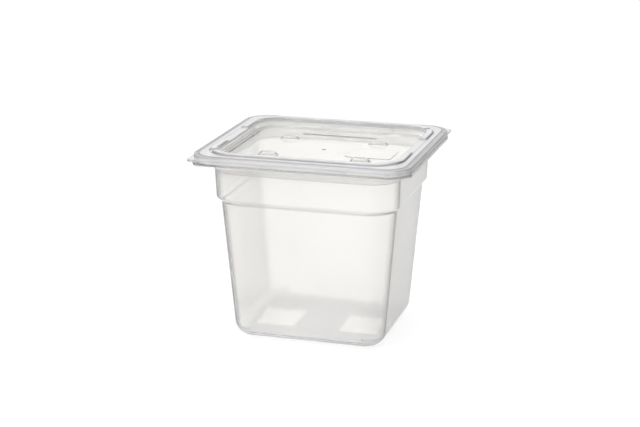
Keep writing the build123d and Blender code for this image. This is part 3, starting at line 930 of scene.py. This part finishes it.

# %% [markdown]
# ## Six finishes
#
# The pan is one plastic and so is the lid, but they are not equally thick or equally smooth
# all over. Each kind of surface gets the milky plastic with values of its own:
#
# - the pan's walls and rim are clear and blur what is behind them a little, like thin ice;
# - its floor is hazier, where the plastic is thickest, and greyer by painted shade, as a floor
#   seen through a wall at a low angle looks;
# - the two plates on the floor are frosted in the tool, and nearly opaque;
# - the lid's panel is polished, so that it can be looked through;
# - the upright walls of its well and plug are a little milkier and brighter;
# - its edge, plateau and ring are the milkiest, and greyer by painted shade, because they lie
#   over the pan's rim and light has several layers to cross.
#
# Clearness is the share of light that is let through. Polypropylene bends light by an index
# of 1.49, and the pan uses that. The lid has 1.15: its walls stand so close behind one
# another that 1.49 breaks the view into streaks, which a real lid, with its slightly
# blurred walls, doesn't show.

# %% The finishes' values
# The slant colours are painted shade on walls seen at a slant, and the line colours painted
# shade along the bends.
PAN_COLOR, PAN_SLANT_SHADE, PAN_LINE_SHADE = (0.968, 0.96, 0.946), (0.59, 0.585, 0.57), (0.2, 0.2, 0.2)
PAN_CLEAR, PAN_ROUGH, PAN_IOR = 0.88, 0.15, 1.49
# The floor's colour is greyer than the walls' by painted shade
FLOOR_SHADED_COLOR, FLOOR_CLEAR = (0.85, 0.85, 0.862), 0.55
PLATE_COLOR, PLATE_CLEAR, PLATE_ROUGH = (0.92, 0.92, 0.91), 0.05, 0.3
LID_COLOR, LID_LINE_SHADE = (0.895, 0.89, 0.875), (0.22, 0.22, 0.24)
LID_CLEAR, LID_ROUGH, LID_IOR = 0.9, 0.03, 1.15
PLUG_COLOR, PLUG_CLEAR = (0.99, 0.985, 0.975), 0.85
# The edge's colour is greyer by painted shade, and its slant colour darker still
EDGE_SHADED_COLOR, EDGE_SLANT_SHADE = (0.605, 0.605, 0.61), (0.26, 0.26, 0.26)
EDGE_CLEAR, EDGE_ROUGH = 0.5, 0.06
print("clearness: pan", PAN_CLEAR, "floor", FLOOR_CLEAR, "lid", LID_CLEAR, "edge", EDGE_CLEAR)

# %% The six finishes
pan_plastic = milky_plastic(
    "milky_pan_plastic", PAN_COLOR, PAN_LINE_SHADE, PAN_CLEAR, PAN_ROUGH, PAN_IOR, PAN_SLANT_SHADE)
lid_plastic = milky_plastic(
    "milky_lid_plastic", LID_COLOR, LID_LINE_SHADE, LID_CLEAR, LID_ROUGH, LID_IOR)
plug_plastic = milky_plastic(
    "milky_plug_plastic", PLUG_COLOR, LID_LINE_SHADE, PLUG_CLEAR, LID_ROUGH, LID_IOR)
edge_plastic = milky_plastic(
    "milky_edge_plastic", EDGE_SHADED_COLOR, LID_LINE_SHADE, EDGE_CLEAR, EDGE_ROUGH, LID_IOR, EDGE_SLANT_SHADE)
floor_plastic = milky_plastic(
    "milky_floor_plastic", FLOOR_SHADED_COLOR, PAN_LINE_SHADE, FLOOR_CLEAR, PAN_ROUGH, PAN_IOR,
    walls_only=False)
plate_plastic = milky_plastic(
    "frosted_plate", PLATE_COLOR, PAN_LINE_SHADE, PLATE_CLEAR, PLATE_ROUGH, PAN_IOR)
PAN_FINISHES = (pan_plastic, floor_plastic, plate_plastic)
LID_FINISHES = (lid_plastic, plug_plastic, edge_plastic)
print("finishes", [finish.name for finish in PAN_FINISHES + LID_FINISHES])

# %% [markdown]
# ## Which face gets which finish
#
# A mould has no seam between a clear part and a hazy one, so the finishes can't be separate
# pieces. Instead each face of a moulding picks one of its piece's materials, by where it is
# and which way it faces.
#
# On the pan, faces that look up near the base are floor. At the short ends the floor finish
# runs up the wide round too, and with it the floor's painted shade. The faces of the underside
# go with the floor and take that painted shade as well, and those on the plates are frosted.
# On the lid, the upright faces of the well and the plug are one group. The edge group is
# everything from the ring outwards, seen from above or from the side.

# %% Finishes of the pan
FLOOR_TOP_Z, FLOOR_LEVEL = 4.5, 0.8     # floor: below this height, looking up at least so
ENDS_TOP_Z, ENDS_LEVEL = 9.0, 0.3       # the same at the short ends
UNDER_TOP_Z, UNDER_LEVEL = 3.0, -0.3    # underside: below this height, looking down


def face_values(mesh, name):
    """A vector of each face, the center or the normal, as an array (faces, 3)."""
    values = np.empty(len(mesh.polygons) * 3, dtype=np.float32)
    mesh.polygons.foreach_get(name, values)
    return values.reshape(-1, 3)


centres = face_values(pan_piece.data, "center") / MM
normal_z = face_values(pan_piece.data, "normal")[:, 2]
on_plate = (
    (np.abs(np.abs(centres[:, 0]) - PLATE_X) < PLATE_SIZE[0] / 2 + NEAR)
    & (np.abs(centres[:, 1] - PLATE_Y) < PLATE_SIZE[1] / 2 + NEAR)
    & (centres[:, 2] > FLOOR_Z + NEAR) & (centres[:, 2] < PLATE_TOP_Z + NEAR)
)
# At the short ends the round takes the floor's painted shade
at_ends = np.abs(centres[:, 0]) > HALF[0] - BASE_ARC
on_floor = (centres[:, 2] < FLOOR_TOP_Z) & (normal_z > FLOOR_LEVEL)
on_floor |= at_ends & (centres[:, 2] < ENDS_TOP_Z) & (normal_z > ENDS_LEVEL)
under_base = (centres[:, 2] < UNDER_TOP_Z) & (normal_z < UNDER_LEVEL)
pan_piece.data.materials.clear()
for material in PAN_FINISHES:
    pan_piece.data.materials.append(material)
pan_finish = np.where(on_plate, 2, np.where(on_floor | under_base, 1, 0)).astype(np.int32)
pan_piece.data.polygons.foreach_set("material_index", pan_finish)
print("faces with pan, floor and plate finish", np.bincount(pan_finish))

# %% Finishes of the lid
PLUG_OUTSIDE = 12.0      # the well's and the plug's walls lie further in than this
RING_INSIDE = 14.6       # the edge, plateau and ring lie further out than this
SKIRT_INSIDE = 0.5       # and so does the upright edge than this


def inset_of(centres, pivot):
    """How far in from the rim's edge a place lies, for corner arcs centred at pivot.

    With q the part of |x| and |y| beyond the arc's centre, or 0, it is pivot - |q|.
    """
    beyond = np.maximum(np.abs(centres[:, :2]) - (HALF - pivot), 0.0)
    return pivot - np.hypot(beyond[:, 0], beyond[:, 1])


centres = face_values(lid_piece.data, "center") / MM
level = np.hypot(*face_values(lid_piece.data, "normal")[:, :2].T)
inset = inset_of(centres, WELL_ARC)
on_plug = (level > WALL_LEVEL) & (inset > PLUG_OUTSIDE)
on_top = (centres[:, 2] > BAND_Z - LID_WALL + NEAR) & (inset < RING_INSIDE)
on_skirt = (centres[:, 2] > RIM_Z - NEAR) & (inset_of(centres, LID_ARC) < SKIRT_INSIDE)
lid_piece.data.materials.clear()
for material in LID_FINISHES:
    lid_piece.data.materials.append(material)
lid_finish = np.where(on_top | on_skirt, 2, np.where(on_plug, 1, 0)).astype(np.int32)
lid_piece.data.polygons.foreach_set("material_index", lid_finish)
print("faces with lid, plug and edge finish", np.bincount(lid_finish))

# %% [markdown]
# ## A pale floor
#
# The pan stands on a plain pale floor that fades into a white room. The floor is a plain
# diffuse surface for all light that falls on it. Towards the camera, and through glass, it is
# mixed with a plain white glow, so that it reads as white but still keeps a soft shadow. It
# lies a fifth of a millimetre below the base, so that the two never fight for one plane.

# %% Floor
FLOOR_HALF = 8.0         # half the floor's side, in metres
FLOOR_DROP = 0.0002      # how far it lies below the base, in metres
FLOOR_GLOW = 0.85        # share of the glow towards the camera and through glass
FLOOR_SHADE = 0.9        # of the diffuse surface, and its roughness


def any_ray(tree, *names):
    """1 for a ray of one of the named kinds, else 0, from the Light Path node."""
    path = tree.nodes.new("ShaderNodeLightPath")
    value = path.outputs[names[0]]
    for name in names[1:]:
        value = add_math(tree, "MAXIMUM", value, path.outputs[name])
    return value


corner_signs = [(-1, -1), (1, -1), (1, 1), (-1, 1)]
floor_corners = [(a * FLOOR_HALF, b * FLOOR_HALF, -FLOOR_DROP) for a, b in corner_signs]
floor_mesh = bpy.data.meshes.new("floor")
floor_mesh.from_pydata(floor_corners, [], [(0, 1, 2, 3)])
floor = add_object("floor", floor_mesh)
floor_material = bpy.data.materials.new("pale_floor")
floor_material.use_nodes = True
tree = floor_material.node_tree
floor_shader = tree.nodes["Principled BSDF"]
floor_shader.inputs["Base Color"].default_value = (FLOOR_SHADE, FLOOR_SHADE, FLOOR_SHADE, 1.0)
floor_shader.inputs["Roughness"].default_value = FLOOR_SHADE
floor_shader.inputs["Specular IOR Level"].default_value = 0.0
glow = tree.nodes.new("ShaderNodeEmission")
mix = tree.nodes.new("ShaderNodeMixShader")
seen = any_ray(tree, "Is Camera Ray", "Is Glossy Ray", "Is Transmission Ray")
tree.links.new(add_math(tree, "MULTIPLY", seen, FLOOR_GLOW), mix.inputs[0])
tree.links.new(floor_shader.outputs[0], mix.inputs[1])
tree.links.new(glow.outputs[0], mix.inputs[2])
tree.links.new(mix.outputs[0], tree.nodes["Material Output"].inputs["Surface"])
floor.data.materials.append(floor_material)
print("floor", 2 * FLOOR_HALF, "m")

# %% [markdown]
# ## Light
#
# Clear plastic is not lit so much as it shows what is around it. In a white room with a white
# floor the walls stay bright, and only edges, corners and long ways through the plastic get
# darker; on these mouldings that darkening is mostly painted shade in the colour. So the room
# does the rest: white to the eye, and slightly below white in reflections and through the
# plastic, so that nothing burns out. Two large soft lamps add a little direction.

# %% Room and lamps
ROOM_LIGHT = 0.8       # strength of the room as a light
ROOM_IN_GLASS = 0.95   # strength of the room in reflections and through the plastic
LAMPS = (
    # name, place in metres, size, watts
    ("key", (-1.2, -1.6, 1.4), 1.2, 50.0),
    ("top", (0.2, 0.3, 1.8), 1.2, 30.0),
)
world = bpy.data.worlds.new("room")
bpy.context.scene.world = world
world.use_nodes = True
tree = world.node_tree
light = tree.nodes["Background"]


def add_layer(below, share, strength):
    """Shows a white background of the given strength over below, by share."""
    white = tree.nodes.new("ShaderNodeBackground")
    white.inputs["Color"].default_value = (1.0, 1.0, 1.0, 1.0)
    white.inputs["Strength"].default_value = strength
    mix = tree.nodes.new("ShaderNodeMixShader")
    tree.links.new(share, mix.inputs[0])
    tree.links.new(below, mix.inputs[1])
    tree.links.new(white.outputs[0], mix.inputs[2])
    return mix.outputs[0]


light.inputs["Color"].default_value = (1.0, 1.0, 1.0, 1.0)
light.inputs["Strength"].default_value = ROOM_LIGHT
in_glass = any_ray(tree, "Is Glossy Ray", "Is Transmission Ray")
layered = add_layer(light.outputs[0], in_glass, ROOM_IN_GLASS)
layered = add_layer(layered, any_ray(tree, "Is Camera Ray"), 1.0)
tree.links.new(layered, tree.nodes["World Output"].inputs["Surface"])

for name, place, size, power in LAMPS:
    lamp = bpy.data.lights.new(name, "AREA")
    lamp.size, lamp.energy = size, power
    holder = bpy.data.objects.new(name, lamp)
    bpy.context.scene.collection.objects.link(holder)
    holder.location = place
    holder.rotation_euler = (AIM - Vector(place)).to_track_quat("-Z", "Y").to_euler()
bpy.context.scene.view_settings.view_transform = "Standard"
print("lamps", [name for name, *_ in LAMPS])

# %% [markdown]
# ## Hand the pieces over
#
# Each moulding rides on its body of the model, so the lid comes along when the joint lifts
# it, and takes the place of the body's measured shape in the render.

# %% Bodies and replacements
for piece, body, node, slot in (
    (pan_piece, "pan_body", "pan", "pan_plastic"),
    (lid_piece, "lid_body", "lid", "lid_plastic"),
):
    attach(piece, body)
    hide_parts(node)
    print(piece.name, "rides on", body)
